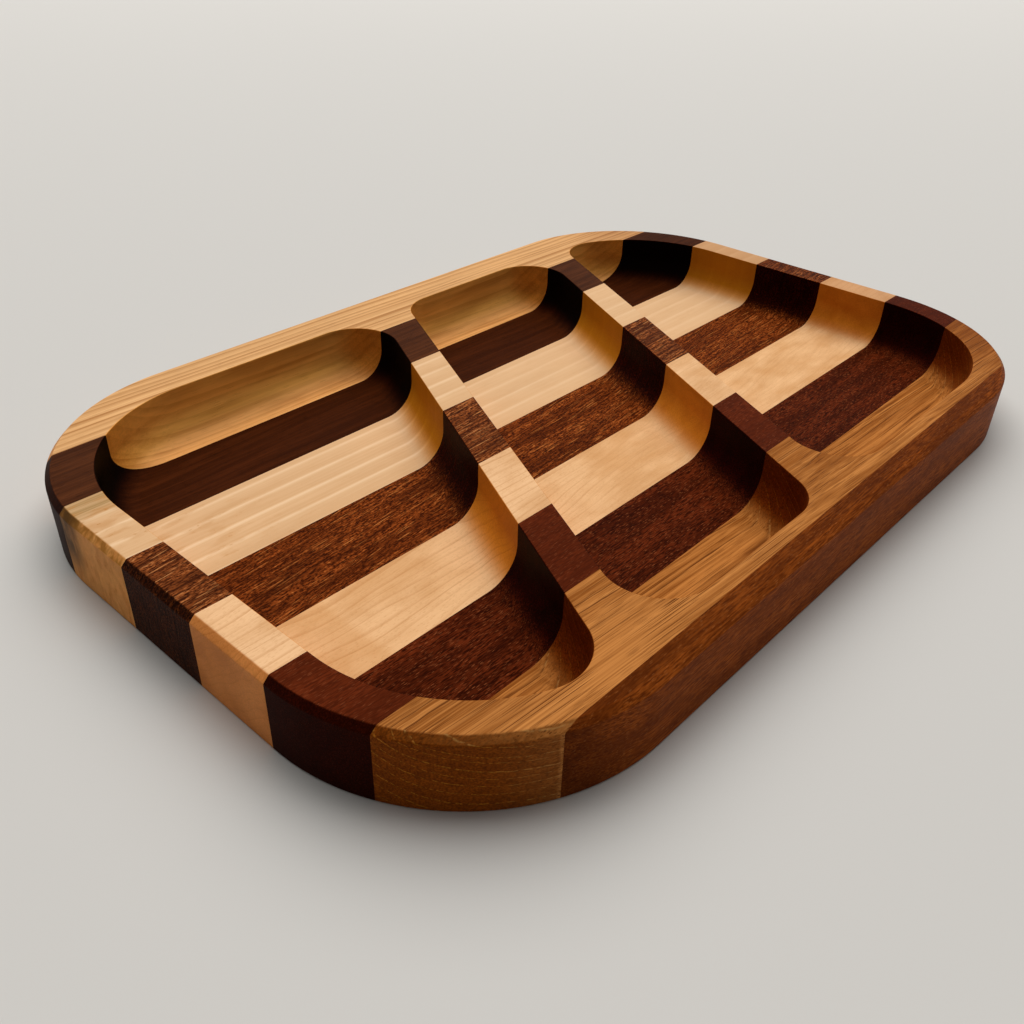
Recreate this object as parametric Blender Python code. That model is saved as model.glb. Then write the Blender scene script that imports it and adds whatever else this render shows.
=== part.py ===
"""Laminated wooden tray: eight edge-glued staves, routed into three pockets.

Run it with: blender --background --python part.py
Units are metres, +Z is up, and the origin is the centre of the underside.
The staves run along X. +Y points to the back, where the ash stave lies.
"""
import math

import bmesh
import bpy
from mathutils import Vector

# Overall form
TRAY_LENGTH = 0.2700
TRAY_THICKNESS = 0.0190
OUTER_CORNER_RADIUS = 0.0535
TOP_CHAMFER = 0.0015
BOTTOM_EASE = 0.0005

# Widths of the staves, from the back to the front
ASH_WIDTH = 0.0239
WALNUT_WIDTH = 0.0237
POPLAR_WIDTH = 0.0282
SAPELE_WIDTH = 0.0263
MAPLE_WIDTH = 0.0248
MAHOGANY_WIDTH = 0.0240
OAK_WIDTH = 0.0245
EDGE_STRIP_WIDTH = 0.0056
GLUE_LINE = 0.0001

# Pockets and the dividers left standing between them
POCKET_DEPTH = 0.0145
END_RIM = 0.0105
BACK_RIM = 0.0132
FRONT_RIM = 0.0096
DIVIDER_THICKNESS = 0.0107
DIVIDER_SPACING = 0.0810
DIVIDER_LEAN = math.radians(26.5)
CUTTER_RADIUS = 0.0134
FLOOR_FILLET = 0.0086
FILLET_LIMIT_SHARE = 0.95

# How finely the round shapes are drawn
ARC_STEP = math.radians(5.0)
FILLET_STEPS = 6
FLAT_ANGLE = math.radians(0.1)
SMOOTH_ANGLE = math.radians(30.0)
WELD_DISTANCE = 0.000001
CUT_OVERRUN = 0.0100

# Each stave: node name, width, colour, roughness
STAVES = (
    ("ash_stave", ASH_WIDTH, (0.66, 0.43, 0.21), 0.42),
    ("walnut_stave", WALNUT_WIDTH, (0.060, 0.022, 0.012), 0.40),
    ("poplar_stave", POPLAR_WIDTH, (0.76, 0.55, 0.32), 0.45),
    ("sapele_stave", SAPELE_WIDTH, (0.190, 0.062, 0.024), 0.42),
    ("maple_stave", MAPLE_WIDTH, (0.78, 0.52, 0.30), 0.40),
    ("mahogany_stave", MAHOGANY_WIDTH, (0.115, 0.030, 0.014), 0.42),
    ("oak_stave", OAK_WIDTH, (0.42, 0.20, 0.075), 0.45),
    ("mahogany_edge_strip", EDGE_STRIP_WIDTH, (0.130, 0.042, 0.018), 0.42),
)

# Places worked out from the sizes above
TRAY_WIDTH = sum(width for _, width, _, _ in STAVES)
RIGHT = Vector((1, 0))
LEFT = Vector((-1, 0))
BACK = Vector((0, 1))
FRONT = Vector((0, -1))
ACROSS_DIVIDER = Vector((math.cos(DIVIDER_LEAN), -math.sin(DIVIDER_LEAN)))
ALONG_DIVIDER = Vector((math.sin(DIVIDER_LEAN), math.cos(DIVIDER_LEAN)))
POCKET_END = TRAY_LENGTH / 2 - END_RIM
POCKET_BACK = TRAY_WIDTH / 2 - BACK_RIM
POCKET_FRONT = FRONT_RIM - TRAY_WIDTH / 2
POCKET_END_RADIUS = OUTER_CORNER_RADIUS - END_RIM
POCKET_FLOOR = TRAY_THICKNESS - POCKET_DEPTH
DIVIDER_REACH = DIVIDER_SPACING / 2 * ACROSS_DIVIDER.x
LEFT_DIVIDER = (-DIVIDER_REACH - DIVIDER_THICKNESS / 2, -DIVIDER_REACH + DIVIDER_THICKNESS / 2)
RIGHT_DIVIDER = (DIVIDER_REACH - DIVIDER_THICKNESS / 2, DIVIDER_REACH + DIVIDER_THICKNESS / 2)
FILLET_RADIUS = min(FLOOR_FILLET, FILLET_LIMIT_SHARE * min(CUTTER_RADIUS, POCKET_DEPTH))


def clear_scene():
    """Remove the objects that Blender starts with."""
    for item in list(bpy.data.objects):
        bpy.data.objects.remove(item)


def new_collection(name):
    """Make a collection in the scene."""
    collection = bpy.data.collections.new(name)
    bpy.context.scene.collection.children.link(collection)
    return collection


def wood(name, colour, roughness):
    """Make an oiled-wood material."""
    material = bpy.data.materials.new(name)
    material.use_nodes = True
    shader = material.node_tree.nodes["Principled BSDF"]
    shader.inputs["Base Color"].default_value = (*colour, 1)
    shader.inputs["Roughness"].default_value = roughness
    shader.inputs["Metallic"].default_value = 0
    return material


def rounded_outline(corners):
    """Walk an outline anticlockwise through its corner arcs.

    Each corner is a centre, a radius, and the outward directions in which its arc
    starts and ends. Straight sides appear by themselves between two arcs.
    """
    points = []
    for centre, radius, first, last in corners:
        start = math.atan2(first.y, first.x)
        turn = (math.atan2(last.y, last.x) - start) % math.tau
        steps = max(1, math.ceil(turn / ARC_STEP))
        for step in range(steps + 1):
            angle = start + turn * step / steps
            point = centre + radius * Vector((math.cos(angle), math.sin(angle)))
            if not points or (point - points[-1]).length > WELD_DISTANCE:
                points.append(point)
    if (points[0] - points[-1]).length <= WELD_DISTANCE:
        points.pop()
    return points


def tray_outline():
    """Outline of the whole tray: a rectangle with four large round corners."""
    x = TRAY_LENGTH / 2 - OUTER_CORNER_RADIUS
    y = TRAY_WIDTH / 2 - OUTER_CORNER_RADIUS
    radius = OUTER_CORNER_RADIUS
    return rounded_outline((
        (Vector((-x, -y)), radius, LEFT, FRONT),
        (Vector((x, -y)), radius, FRONT, RIGHT),
        (Vector((x, y)), radius, RIGHT, BACK),
        (Vector((-x, y)), radius, BACK, LEFT),
    ))


def cutter_stop(face, side, outward, end_corner=None):
    """Where the router turns in the corner between a divider and a long side.

    face is the divider face's distance from the tray's centre, side is +1 or -1 for a
    pocket right or left of it, and outward is the direction of the long side. Returns
    the turning centre and the direction in which the cutter touches the long side. In
    an end pocket it may touch the large round end corner first, and stops there.
    """
    path = face + side * CUTTER_RADIUS
    long_side = POCKET_BACK if outward is BACK else POCKET_FRONT
    y = long_side - outward.y * CUTTER_RADIUS
    centre = Vector(((path - ACROSS_DIVIDER.y * y) / ACROSS_DIVIDER.x, y))
    if end_corner is None or (centre.x - end_corner.x) * side < 0:
        return centre, outward
    offset = path - ACROSS_DIVIDER.dot(end_corner)
    reach = POCKET_END_RADIUS - CUTTER_RADIUS
    along = math.sqrt(max(0, reach * reach - offset * offset))
    centre = end_corner + offset * ACROSS_DIVIDER + outward.y * along * ALONG_DIVIDER
    return centre, (centre - end_corner).normalized()


def end_pocket_outline(face, side):
    """Outline of the left pocket (side -1) or the right pocket (side +1)."""
    x = side * (POCKET_END - POCKET_END_RADIUS)
    end_front = Vector((x, POCKET_FRONT + POCKET_END_RADIUS))
    end_back = Vector((x, POCKET_BACK - POCKET_END_RADIUS))
    front, front_touch = cutter_stop(face, side, FRONT, end_front)
    back, back_touch = cutter_stop(face, side, BACK, end_back)
    if side < 0:
        return rounded_outline((
            (end_front, POCKET_END_RADIUS, LEFT, front_touch),
            (front, CUTTER_RADIUS, front_touch, ACROSS_DIVIDER),
            (back, CUTTER_RADIUS, ACROSS_DIVIDER, back_touch),
            (end_back, POCKET_END_RADIUS, back_touch, LEFT),
        ))
    return rounded_outline((
        (front, CUTTER_RADIUS, -ACROSS_DIVIDER, front_touch),
        (end_front, POCKET_END_RADIUS, front_touch, RIGHT),
        (end_back, POCKET_END_RADIUS, RIGHT, back_touch),
        (back, CUTTER_RADIUS, back_touch, -ACROSS_DIVIDER),
    ))


def middle_pocket_outline(left_face, right_face):
    """Outline of the pocket between the two dividers: a leaning parallelogram."""
    corners = []
    for face, side, outward, first, last in (
        (left_face, 1, FRONT, -ACROSS_DIVIDER, FRONT),
        (right_face, -1, FRONT, FRONT, ACROSS_DIVIDER),
        (right_face, -1, BACK, ACROSS_DIVIDER, BACK),
        (left_face, 1, BACK, BACK, -ACROSS_DIVIDER),
    ):
        centre, _ = cutter_stop(face, side, outward)
        corners.append((centre, CUTTER_RADIUS, first, last))
    return rounded_outline(corners)


def slab(name, outline, bottom, top):
    """Make a closed slab of an outline between two heights."""
    curve = bpy.data.curves.new(name, "CURVE")
    curve.dimensions = "2D"
    curve.fill_mode = "BOTH"
    curve.extrude = (top - bottom) / 2
    spline = curve.splines.new("POLY")
    spline.points.add(len(outline) - 1)
    for point, place in zip(spline.points, outline):
        point.co = (place.x, place.y, 0, 1)
    spline.use_cyclic_u = True
    drawn = bpy.data.objects.new(name, curve)
    bpy.context.scene.collection.objects.link(drawn)
    bpy.context.view_layer.update()
    depsgraph = bpy.context.evaluated_depsgraph_get()
    mesh = bpy.data.meshes.new_from_object(drawn.evaluated_get(depsgraph))
    bpy.data.objects.remove(drawn)
    work = bmesh.new()
    work.from_mesh(mesh)
    bmesh.ops.remove_doubles(work, verts=work.verts, dist=WELD_DISTANCE)
    bmesh.ops.dissolve_limit(work, angle_limit=FLAT_ANGLE, verts=work.verts, edges=work.edges)
    bmesh.ops.recalc_face_normals(work, faces=work.faces)
    work.to_mesh(mesh)
    work.free()
    solid = bpy.data.objects.new(name, mesh)
    solid.location.z = (top + bottom) / 2
    return solid


def bevel_rim(solid, upper, width, steps):
    """Chamfer (one step) or round the upper or lower rim of a slab."""
    mesh = solid.data
    work = bmesh.new()
    work.from_mesh(mesh)
    heights = [vertex.co.z for vertex in work.verts]
    level = max(heights) if upper else min(heights)
    rim = [
        edge for edge in work.edges
        if all(abs(vertex.co.z - level) < WELD_DISTANCE for vertex in edge.verts)
    ]
    bmesh.ops.bevel(
        work, geom=rim, offset=width, offset_type="OFFSET", segments=steps,
        profile=0.5, affect="EDGES", clamp_overlap=False,
    )
    work.to_mesh(mesh)
    work.free()


def keep_as_guide(solid, collection):
    """Put a cutter or guide solid in its collection, drawn as wire and never rendered."""
    collection.objects.link(solid)
    solid.display_type = "WIRE"
    solid.hide_render = True
    return solid


def add_boolean(solid, operation, other):
    """Cut with another solid, or keep only what lies inside it."""
    modifier = solid.modifiers.new(other.name, "BOOLEAN")
    modifier.operation = operation
    modifier.solver = "EXACT"
    modifier.object = other


def build_panel(collection):
    """The glued-up panel after routing: outline, edge treatment and three pockets."""
    panel = slab("routed_panel", tray_outline(), 0, TRAY_THICKNESS)
    bevel_rim(panel, True, TOP_CHAMFER, 1)
    bevel_rim(panel, False, BOTTOM_EASE, 1)
    keep_as_guide(panel, collection)
    pockets = (
        ("left_pocket", end_pocket_outline(LEFT_DIVIDER[0], -1)),
        ("middle_pocket", middle_pocket_outline(LEFT_DIVIDER[1], RIGHT_DIVIDER[0])),
        ("right_pocket", end_pocket_outline(RIGHT_DIVIDER[1], 1)),
    )
    for name, outline in pockets:
        cutter = slab(name, outline, POCKET_FLOOR, TRAY_THICKNESS + CUT_OVERRUN)
        bevel_rim(cutter, False, FILLET_RADIUS, FILLET_STEPS)
        keep_as_guide(cutter, collection)
        add_boolean(panel, "DIFFERENCE", cutter)
    return panel


def build_stave(name, back, front, material, panel, collection):
    """One stave: a plank between two glue lines, shaped as its share of the panel."""
    bpy.ops.mesh.primitive_cube_add(size=1)
    stave = bpy.context.object
    stave.name = name
    stave.data.name = name
    stave.scale = (
        TRAY_LENGTH + 2 * CUT_OVERRUN,
        back - front,
        TRAY_THICKNESS + 2 * CUT_OVERRUN,
    )
    bpy.ops.object.transform_apply(location=False, rotation=False, scale=True)
    stave.location = (0, (back + front) / 2, TRAY_THICKNESS / 2)
    for owner in list(stave.users_collection):
        owner.objects.unlink(stave)
    collection.objects.link(stave)
    add_boolean(stave, "INTERSECT", panel)
    bpy.context.view_layer.update()
    depsgraph = bpy.context.evaluated_depsgraph_get()
    mesh = bpy.data.meshes.new_from_object(stave.evaluated_get(depsgraph))
    stave.modifiers.clear()
    stave.data = mesh
    mesh.materials.clear()
    mesh.materials.append(material)
    mesh.shade_smooth()
    mesh.set_sharp_from_angle(angle=SMOOTH_ANGLE)
    return stave


def build_tray():
    """Build the whole tray, stave by stave from the back to the front."""
    clear_scene()
    pieces = new_collection("laminated_tray")
    guides = new_collection("cutters")
    panel = build_panel(guides)
    back = TRAY_WIDTH / 2
    for number, (name, width, colour, roughness) in enumerate(STAVES):
        front = back - width
        outer_back = back + CUT_OVERRUN if number == 0 else back - GLUE_LINE / 2
        last = number == len(STAVES) - 1
        outer_front = front - CUT_OVERRUN if last else front + GLUE_LINE / 2
        material = wood(name, colour, roughness)
        build_stave(name, outer_back, outer_front, material, panel, pieces)
        back = front


build_tray()
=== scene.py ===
# %% [markdown]
# # A laminated wooden tray
# Eight planks of different woods are glued edge to edge into one panel. A router then cuts
# three pockets into it, and leaves two slanted dividers and a rim standing. The script makes
# every plank as its own mesh, in metres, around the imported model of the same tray.
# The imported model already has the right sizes, so it is loaded first and kept as a frame.

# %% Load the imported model
import math

import bmesh
import bpy
from mathutils import Euler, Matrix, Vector


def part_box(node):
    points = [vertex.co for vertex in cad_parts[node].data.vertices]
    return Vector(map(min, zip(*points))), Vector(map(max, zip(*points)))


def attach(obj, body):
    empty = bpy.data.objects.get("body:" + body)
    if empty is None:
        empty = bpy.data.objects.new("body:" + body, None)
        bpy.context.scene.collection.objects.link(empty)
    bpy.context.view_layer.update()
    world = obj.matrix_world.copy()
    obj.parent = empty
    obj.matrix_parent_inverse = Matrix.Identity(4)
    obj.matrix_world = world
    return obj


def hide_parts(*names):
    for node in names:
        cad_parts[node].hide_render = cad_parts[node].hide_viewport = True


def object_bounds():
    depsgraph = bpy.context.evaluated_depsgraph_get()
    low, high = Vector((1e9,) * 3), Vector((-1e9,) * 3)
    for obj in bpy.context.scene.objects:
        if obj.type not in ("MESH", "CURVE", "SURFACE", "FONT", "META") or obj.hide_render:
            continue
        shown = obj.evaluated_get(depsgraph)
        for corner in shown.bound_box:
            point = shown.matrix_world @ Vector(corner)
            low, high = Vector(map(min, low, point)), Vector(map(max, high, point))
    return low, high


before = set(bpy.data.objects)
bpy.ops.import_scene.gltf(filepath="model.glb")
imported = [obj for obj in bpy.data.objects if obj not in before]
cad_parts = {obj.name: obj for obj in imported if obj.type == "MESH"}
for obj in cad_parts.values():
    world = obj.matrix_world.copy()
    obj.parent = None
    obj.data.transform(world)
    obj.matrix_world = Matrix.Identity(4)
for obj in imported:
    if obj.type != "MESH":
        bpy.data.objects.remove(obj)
cad_low, cad_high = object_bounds()
MM_PER_METRE = 1000.0
print("nodes in the frame:", sorted(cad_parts))
print("size in mm:", [round(side * MM_PER_METRE, 2) for side in cad_high - cad_low])

# %% [markdown]
# ## The camera
# The camera stands at the tray's front left corner and looks down at it. A camera can be
# aimed with a constraint or by typing its rotation. Here three angles say it plainly: the
# heading round from straight back, the dip below the horizon, and a slight roll of the hand.
# Blender's camera looks down its own -Z, so it is first tipped up by 90 degrees less the dip.

# %% Camera
CAMERA_PLACE = Vector((-0.2042, -0.1591, 0.1482))
CAMERA_HEADING = math.radians(48.23)
CAMERA_DIP = math.radians(34.14)
CAMERA_ROLL = math.radians(1.61)
CAMERA_LENS = 34.72
CAMERA_NEAR = 0.01

camera_data = bpy.data.cameras.new("camera")
camera_data.lens = CAMERA_LENS
camera_data.clip_start = CAMERA_NEAR
camera = bpy.data.objects.new("camera", camera_data)
bpy.context.scene.collection.objects.link(camera)
turn = Euler((0, 0, -CAMERA_HEADING)).to_matrix()
tip = Euler((math.pi / 2 - CAMERA_DIP, 0, 0)).to_matrix()
roll = Euler((0, 0, CAMERA_ROLL)).to_matrix()
camera.matrix_world = (turn @ tip @ roll).to_4x4()
camera.location = CAMERA_PLACE
bpy.context.scene.camera = camera
print("camera is", round(CAMERA_PLACE.length, 3), "m from the tray's middle")

# %% [markdown]
# ## Sizes
# The outside of the tray and the glue lines are read from the frame, so the planks can't
# drift away from it. The routed pockets have no box of their own in the frame, so their
# sizes are written here once, in metres, and every curve below is worked out from them.

# %% Sizes of the tray and its pockets
TRAY_LENGTH = cad_high.x - cad_low.x
TRAY_WIDTH = cad_high.y - cad_low.y
TRAY_THICKNESS = cad_high.z
OUTER_CORNER_RADIUS = 0.0535
TOP_CHAMFER = 0.0015
BOTTOM_EASE = 0.0005

POCKET_DEPTH = 0.0145
END_RIM = 0.0105
BACK_RIM = 0.0132
FRONT_RIM = 0.0096
DIVIDER_THICKNESS = 0.0107
DIVIDER_SPACING = 0.0810
DIVIDER_LEAN = math.radians(26.5)
CUTTER_RADIUS = 0.0134
FLOOR_FILLET = 0.0086

CHAMFER_SOFTNESS = 0.0007
MOUTH_EASE = 0.00025

RIGHT = Vector((1, 0))
LEFT = Vector((-1, 0))
BACK = Vector((0, 1))
FRONT = Vector((0, -1))
ACROSS_DIVIDER = Vector((math.cos(DIVIDER_LEAN), -math.sin(DIVIDER_LEAN)))
ALONG_DIVIDER = Vector((math.sin(DIVIDER_LEAN), math.cos(DIVIDER_LEAN)))
POCKET_END = TRAY_LENGTH / 2 - END_RIM
POCKET_BACK = TRAY_WIDTH / 2 - BACK_RIM
POCKET_FRONT = FRONT_RIM - TRAY_WIDTH / 2
POCKET_END_RADIUS = OUTER_CORNER_RADIUS - END_RIM
POCKET_FLOOR = TRAY_THICKNESS - POCKET_DEPTH
DIVIDER_REACH = DIVIDER_SPACING / 2 * ACROSS_DIVIDER.x
print("pocket floor is", round(POCKET_FLOOR * MM_PER_METRE, 2), "mm above the table")

# %% [markdown]
# ## Outlines
# Each outline, seen from above, is a row of round corners with straight sides between them.
# A bezier curve could draw it, but then each handle would need placing. A corner is easier
# to say as a circle: its centre, its radius, and the directions in which its arc starts and
# ends. Each point keeps its circle, so the same outline can be drawn larger or smaller by
# changing the radius alone, and all those rings have matching points.

# %% Outlines as arcs
ARC_STEP = math.radians(2.5)
WELD = 0.000001


def ring_point(station, inset):
    """A point of an outline that is drawn in by inset."""
    centre, radius, direction = station
    return centre + (radius - inset) * direction


def outline(corners):
    """Walk anticlockwise through corner arcs and return centre, radius, direction of each point."""
    stations = []
    for centre, radius, first, last in corners:
        start = math.atan2(first.y, first.x)
        sweep = (math.atan2(last.y, last.x) - start) % math.tau
        steps = max(1, math.ceil(sweep / ARC_STEP))
        for step in range(steps + 1):
            angle = start + sweep * step / steps
            station = (centre, radius, Vector((math.cos(angle), math.sin(angle))))
            fresh = not stations or (
                ring_point(station, 0) - ring_point(stations[-1], 0)
            ).length > WELD
            if fresh:
                stations.append(station)
    if (ring_point(stations[0], 0) - ring_point(stations[-1], 0)).length <= WELD:
        stations.pop()
    return stations


def tray_outline():
    """A rectangle with four large round corners."""
    x = TRAY_LENGTH / 2 - OUTER_CORNER_RADIUS
    y = TRAY_WIDTH / 2 - OUTER_CORNER_RADIUS
    radius = OUTER_CORNER_RADIUS
    return outline((
        (Vector((-x, -y)), radius, LEFT, FRONT),
        (Vector((x, -y)), radius, FRONT, RIGHT),
        (Vector((x, y)), radius, RIGHT, BACK),
        (Vector((-x, y)), radius, BACK, LEFT),
    ))


print("tray outline has", len(tray_outline()), "points")

# %% [markdown]
# ## Pocket outlines
# A router bit is round, so it leaves a small round corner wherever it turns. Against a long
# side the bit stops one radius away from it. In an end pocket the slanted divider runs into
# the big end corner first, and there the bit touches that large arc from inside. Both cases
# give a centre and a touching direction, which is all that a corner needs.

# %% Where the router bit turns


def cutter_stop(face, side, outward, end_corner=None):
    """Where the router bit turns between a divider face and a long side or an end corner."""
    path = face + side * CUTTER_RADIUS
    long_side = POCKET_BACK if outward is BACK else POCKET_FRONT
    y = long_side - outward.y * CUTTER_RADIUS
    centre = Vector(((path - ACROSS_DIVIDER.y * y) / ACROSS_DIVIDER.x, y))
    if end_corner is None or (centre.x - end_corner.x) * side < 0:
        return centre, outward
    offset = path - ACROSS_DIVIDER.dot(end_corner)
    reach = POCKET_END_RADIUS - CUTTER_RADIUS
    along = math.sqrt(max(0, reach * reach - offset * offset))
    centre = end_corner + offset * ACROSS_DIVIDER + outward.y * along * ALONG_DIVIDER
    return centre, (centre - end_corner).normalized()


# %% The three pockets


def end_pocket(face, side):
    """Outline of the left pocket (side -1) or the right pocket (side +1)."""
    x = side * (POCKET_END - POCKET_END_RADIUS)
    end_front = Vector((x, POCKET_FRONT + POCKET_END_RADIUS))
    end_back = Vector((x, POCKET_BACK - POCKET_END_RADIUS))
    front, front_touch = cutter_stop(face, side, FRONT, end_front)
    back, back_touch = cutter_stop(face, side, BACK, end_back)
    if side < 0:
        return outline((
            (end_front, POCKET_END_RADIUS, LEFT, front_touch),
            (front, CUTTER_RADIUS, front_touch, ACROSS_DIVIDER),
            (back, CUTTER_RADIUS, ACROSS_DIVIDER, back_touch),
            (end_back, POCKET_END_RADIUS, back_touch, LEFT),
        ))
    return outline((
        (front, CUTTER_RADIUS, -ACROSS_DIVIDER, front_touch),
        (end_front, POCKET_END_RADIUS, front_touch, RIGHT),
        (end_back, POCKET_END_RADIUS, RIGHT, back_touch),
        (back, CUTTER_RADIUS, back_touch, -ACROSS_DIVIDER),
    ))


def middle_pocket(left_face, right_face):
    """Outline of the pocket between the two dividers."""
    front_left, _ = cutter_stop(left_face, 1, FRONT)
    front_right, _ = cutter_stop(right_face, -1, FRONT)
    back_right, _ = cutter_stop(right_face, -1, BACK)
    back_left, _ = cutter_stop(left_face, 1, BACK)
    return outline((
        (front_left, CUTTER_RADIUS, -ACROSS_DIVIDER, FRONT),
        (front_right, CUTTER_RADIUS, FRONT, ACROSS_DIVIDER),
        (back_right, CUTTER_RADIUS, ACROSS_DIVIDER, BACK),
        (back_left, CUTTER_RADIUS, BACK, -ACROSS_DIVIDER),
    ))


half_divider = DIVIDER_THICKNESS / 2
pockets = {
    "left": end_pocket(-DIVIDER_REACH - half_divider, -1),
    "middle": middle_pocket(-DIVIDER_REACH + half_divider, DIVIDER_REACH - half_divider),
    "right": end_pocket(DIVIDER_REACH + half_divider, 1),
}
print("pocket points:", {name: len(points) for name, points in pockets.items()})

# %% [markdown]
# ## Profiles
# A profile is the section of an edge: how far the wall is drawn in, and how high. Every real
# edge is a little round, because sandpaper passed over it, and it is this small round that
# catches the light. A Bevel modifier could add it afterwards, but on a cut panel it meets
# slivers at the glue lines, so the round corners are drawn into the profile itself. Each
# point also carries its wear, from 0 to 1, for the material to read.

# %% Profiles of the outer side and of a pocket wall
FAR = 1.0
EASE_STEPS = 6
SOFT_STEPS = 4
FILLET_STEPS = 14
FULL_WEAR = 1.0


def round_corner(before, corner, after, radius, steps, wear=0.0):
    """Points of the arc that rounds one corner of a profile, each with its wear."""
    to_before = (Vector(before) - Vector(corner)).normalized()
    to_after = (Vector(after) - Vector(corner)).normalized()
    half = to_before.angle(to_after) / 2
    centre = Vector(corner) + (to_before + to_after).normalized() * radius / math.sin(half)
    first = Vector(corner) + to_before * radius / math.tan(half) - centre
    last = Vector(corner) + to_after * radius / math.tan(half) - centre
    start = math.atan2(first.y, first.x)
    sweep = (math.atan2(last.y, last.x) - start + math.pi) % math.tau - math.pi
    points = []
    for step in range(steps + 1):
        angle = start + sweep * step / steps
        point = centre + radius * Vector((math.cos(angle), math.sin(angle)))
        points.append((point.x, point.y, wear * math.sin(math.pi * step / steps)))
    return points


chamfer_foot = (0, TRAY_THICKNESS - TOP_CHAMFER)
chamfer_top = (TOP_CHAMFER, TRAY_THICKNESS)
rim = (FAR, TRAY_THICKNESS)
outer_profile = (
    round_corner((FAR, 0), (0, 0), chamfer_foot, BOTTOM_EASE, EASE_STEPS)
    + round_corner((0, 0), chamfer_foot, chamfer_top, CHAMFER_SOFTNESS, SOFT_STEPS, FULL_WEAR)
    + round_corner(chamfer_foot, chamfer_top, rim, CHAMFER_SOFTNESS, SOFT_STEPS, FULL_WEAR)
)
mouth = (0, TRAY_THICKNESS)
foot = (0, POCKET_FLOOR)
pocket_profile = (
    round_corner((-FAR, TRAY_THICKNESS), mouth, foot, MOUTH_EASE, EASE_STEPS, FULL_WEAR)
    + round_corner(mouth, foot, (FAR, POCKET_FLOOR), FLOOR_FILLET, FILLET_STEPS)
)
print("profile points:", len(outer_profile), "outside,", len(pocket_profile), "in a pocket")

# %% [markdown]
# ## The routed panel
# The panel is lofted: one ring of points for each point of the profile, with quads between
# neighbouring rings. A Boolean cut would give the same shape, but it leaves long thin
# triangles that shade badly. The flat top, with its three holes, is filled by triangles,
# and each floor and the underside are one flat face. Every point also remembers whether the
# router cut it. Only the first ring of a pocket doesn't count, because it lies in the rim.

# %% Loft the panel
WEAR_NAME = "eased edge"
CUT_NAME = "cut by the router"
CM3_PER_M3 = 1000000.0


def loft(work, stations, profile, routed=0.0):
    """Join the rings of an outline, one for each profile point. Returns the end rings."""
    worn = work.verts.layers.float[WEAR_NAME]
    cut = work.verts.layers.float[CUT_NAME]
    rings = []
    for inset, height, wear in profile:
        flat = [ring_point(station, inset) for station in stations]
        ring = [work.verts.new((point.x, point.y, height)) for point in flat]
        for vert in ring:
            vert[worn] = wear
            vert[cut] = routed if rings else 0.0
        rings.append(ring)
    count = len(stations)
    for lower, upper in zip(rings, rings[1:]):
        for here in range(count):
            there = (here + 1) % count
            work.faces.new((lower[here], lower[there], upper[there], upper[here]))
    return rings[0], rings[-1]


def ring_edges(work, ring):
    """The edges that run round a ring."""
    return [work.edges.get((a, b)) for a, b in zip(ring, ring[1:] + ring[:1])]


def routed_panel():
    """The whole glued panel after routing, as one closed mesh."""
    work = bmesh.new()
    work.verts.layers.float.new(WEAR_NAME)
    work.verts.layers.float.new(CUT_NAME)
    underside, rim_ring = loft(work, tray_outline(), outer_profile)
    work.faces.new(underside)
    top_edges = ring_edges(work, rim_ring)
    for stations in pockets.values():
        mouth_ring, floor_ring = loft(work, stations, pocket_profile, routed=1.0)
        top_edges += ring_edges(work, mouth_ring)
        work.faces.new(floor_ring)
    bmesh.ops.triangle_fill(work, edges=top_edges, normal=(0, 0, 1))
    bmesh.ops.recalc_face_normals(work, faces=work.faces)
    return work


panel = routed_panel()
open_edges = [edge for edge in panel.edges if not edge.is_manifold]
print("panel faces:", len(panel.faces), "open edges:", len(open_edges))
print("panel volume in cm3:", round(panel.calc_volume() * CM3_PER_M3, 2))

# %% [markdown]
# ## Sawing the panel into planks
# On the real tray the planks are glued first and shaped together, so one line runs through
# rim, floor and dividers. The mesh is made in the same order: the panel is copied for each
# plank and cut by two flat planes at its glue lines, which are read from the frame. The
# glue film is thinner than a hair, so only a hundredth of a millimetre is left out.

# %% The saw
GLUE_FILM = 0.00001
CUT_TOLERANCE = 0.0000001
SHARP_ANGLE = math.radians(35)

# Each plank: name of the new mesh, node that it stands for, material slot
PLANKS = (
    ("ash_plank", "ash_stave", "ash"),
    ("walnut_plank", "walnut_stave", "walnut"),
    ("poplar_plank", "poplar_stave", "poplar"),
    ("sapele_plank", "sapele_stave", "sapele"),
    ("maple_plank", "maple_stave", "maple"),
    ("mahogany_plank", "mahogany_stave", "mahogany"),
    ("oak_plank", "oak_stave", "oak"),
    ("mahogany_edge_band", "mahogany_edge_strip", "mahogany_edge"),
)


def saw(work, y, outward):
    """Cut the mesh at y, throw away what lies outward, and close the cut."""
    geometry = work.verts[:] + work.edges[:] + work.faces[:]
    cut = bmesh.ops.bisect_plane(
        work, geom=geometry, dist=CUT_TOLERANCE, plane_co=(0, y, 0),
        plane_no=(0, outward, 0), clear_outer=True,
    )
    edges = [part for part in cut["geom_cut"] if isinstance(part, bmesh.types.BMEdge)]
    bmesh.ops.holes_fill(work, edges=edges)


def glue_lines():
    """Where the glue lines cross y, from the back to the front, halfway between two nodes."""
    boxes = [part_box(node) for _, node, _ in PLANKS]
    return [(behind[0].y + ahead[1].y) / 2 for behind, ahead in zip(boxes, boxes[1:])]


def plank_mesh(name, back, front):
    """One plank, cut out of a copy of the panel."""
    work = panel.copy()
    if back is not None:
        saw(work, back - GLUE_FILM / 2, 1)
    if front is not None:
        saw(work, front + GLUE_FILM / 2, -1)
    bmesh.ops.recalc_face_normals(work, faces=work.faces)
    mesh = bpy.data.meshes.new(name)
    work.to_mesh(mesh)
    work.free()
    mesh.shade_smooth()
    mesh.set_sharp_from_angle(angle=SHARP_ANGLE)
    return mesh


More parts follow.
